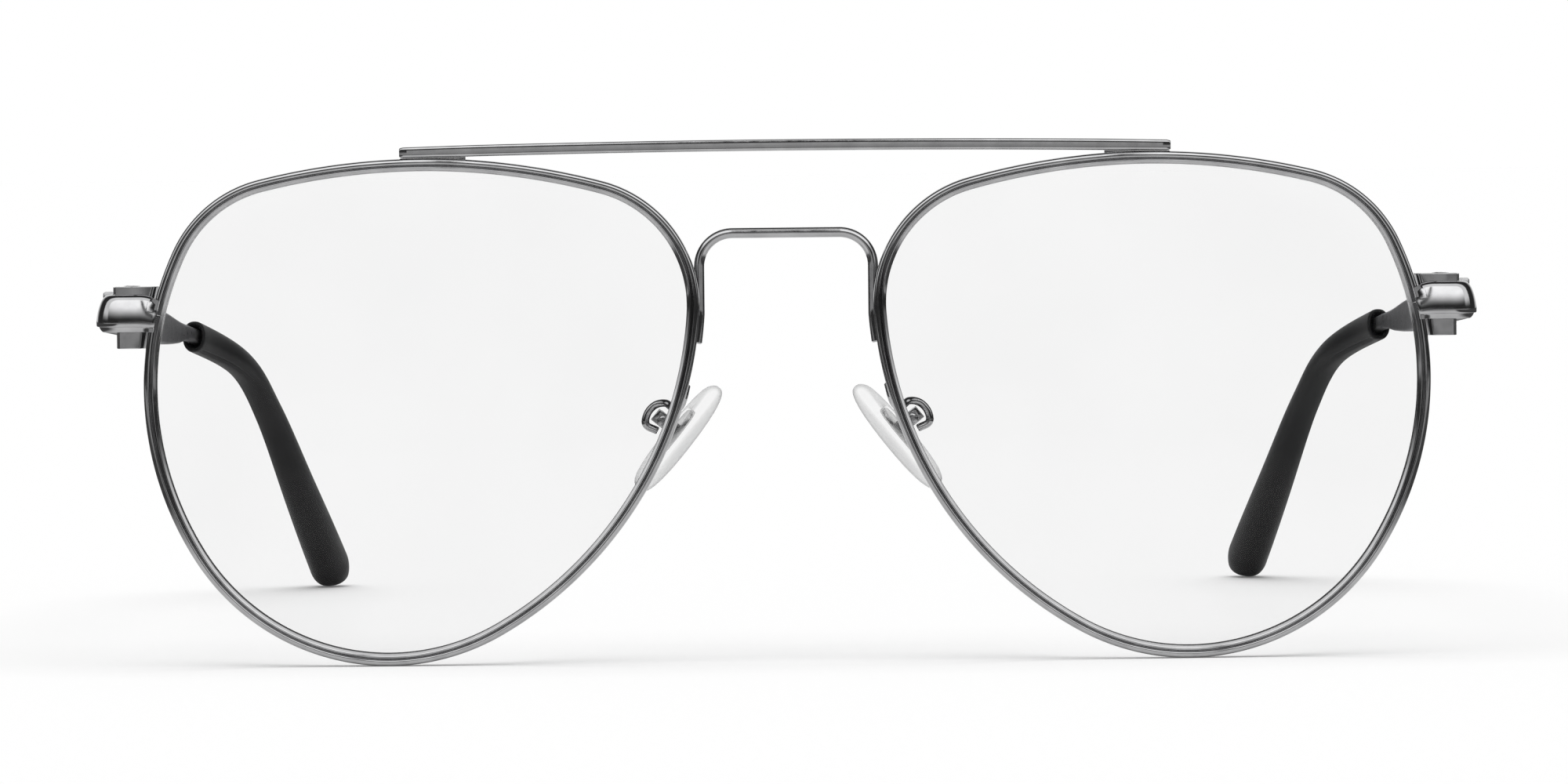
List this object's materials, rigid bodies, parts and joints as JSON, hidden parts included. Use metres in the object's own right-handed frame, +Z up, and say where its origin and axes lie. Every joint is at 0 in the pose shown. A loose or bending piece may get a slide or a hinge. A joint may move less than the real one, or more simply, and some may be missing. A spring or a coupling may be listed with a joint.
{
  "type": "eyeglasses",
  "caption": "Double-bridge aviator spectacle frame in polished gunmetal wire with clear lenses, rocking nose pads and hinged temples with black tips, standing open.",
  "frame": {"origin": "On the surface that the frame stands on, under the middle of its box", "axes": "+X to the wearer's left, +Y from the lenses back along the temples, +Z up"},
  "size_m": [0.14, 0.143, 0.053],
  "materials": {
    "polished_gunmetal": "polished dark nickel plating on bent wire and strip",
    "screw_steel": "turned steel, slightly duller than the frame",
    "core_steel": "plain steel insert seen through the clear pad",
    "clear_lens": "clear uncoated plastic demonstration lens",
    "clear_silicone": "soft clear silicone, satin",
    "matte_black_tip": "matte charcoal-black moulded sleeve"
  },
  "bodies": {
    "front": {"brow_bar": "polished_gunmetal", "bridge": "polished_gunmetal", "right_rim": "polished_gunmetal", "right_lens": "clear_lens", "right_bar_foot": "polished_gunmetal", "right_endpiece": "polished_gunmetal", "right_upper_block": "polished_gunmetal", "right_lower_block": "polished_gunmetal", "right_closing_screw": "screw_steel", "right_front_leaf": "polished_gunmetal", "right_hinge_screw": "screw_steel", "right_pad_arm": "polished_gunmetal", "right_pad_box": "polished_gunmetal", "right_pad_screw": "screw_steel", "left_rim": "polished_gunmetal", "left_lens": "clear_lens", "left_bar_foot": "polished_gunmetal", "left_endpiece": "polished_gunmetal", "left_upper_block": "polished_gunmetal", "left_lower_block": "polished_gunmetal", "left_closing_screw": "screw_steel", "left_front_leaf": "polished_gunmetal", "left_hinge_screw": "screw_steel", "left_pad_arm": "polished_gunmetal", "left_pad_box": "polished_gunmetal", "left_pad_screw": "screw_steel"},
    "right_temple_arm": {"right_temple_leaf": "polished_gunmetal", "right_temple": "polished_gunmetal", "right_tip": "matte_black_tip"},
    "right_pad": {"right_pad_core": "core_steel", "right_nose_pad": "clear_silicone"},
    "left_temple_arm": {"left_temple_leaf": "polished_gunmetal", "left_temple": "polished_gunmetal", "left_tip": "matte_black_tip"},
    "left_pad": {"left_pad_core": "core_steel", "left_nose_pad": "clear_silicone"}
  },
  "joints": [
    {"name": "right_temple_fold", "type": "hinge", "parent": "front", "child": "right_temple_arm", "pos_m": [-0.06703, -0.05976, 0.036], "axis": [0, 0, -1], "range_deg": [0, 87]},
    {"name": "left_temple_fold", "type": "hinge", "parent": "front", "child": "left_temple_arm", "pos_m": [0.06703, -0.05976, 0.036], "axis": [0, 0, 1], "range_deg": [0, 81]},
    {"name": "right_pad_rock", "type": "hinge", "parent": "front", "child": "right_pad", "pos_m": [-0.01269, -0.06112, 0.02435], "axis": [0, 1, 0], "range_deg": [-10, 10]},
    {"name": "left_pad_rock", "type": "hinge", "parent": "front", "child": "left_pad", "pos_m": [0.01269, -0.06112, 0.02435], "axis": [0, 1, 0], "range_deg": [-10, 10]}
  ]
}
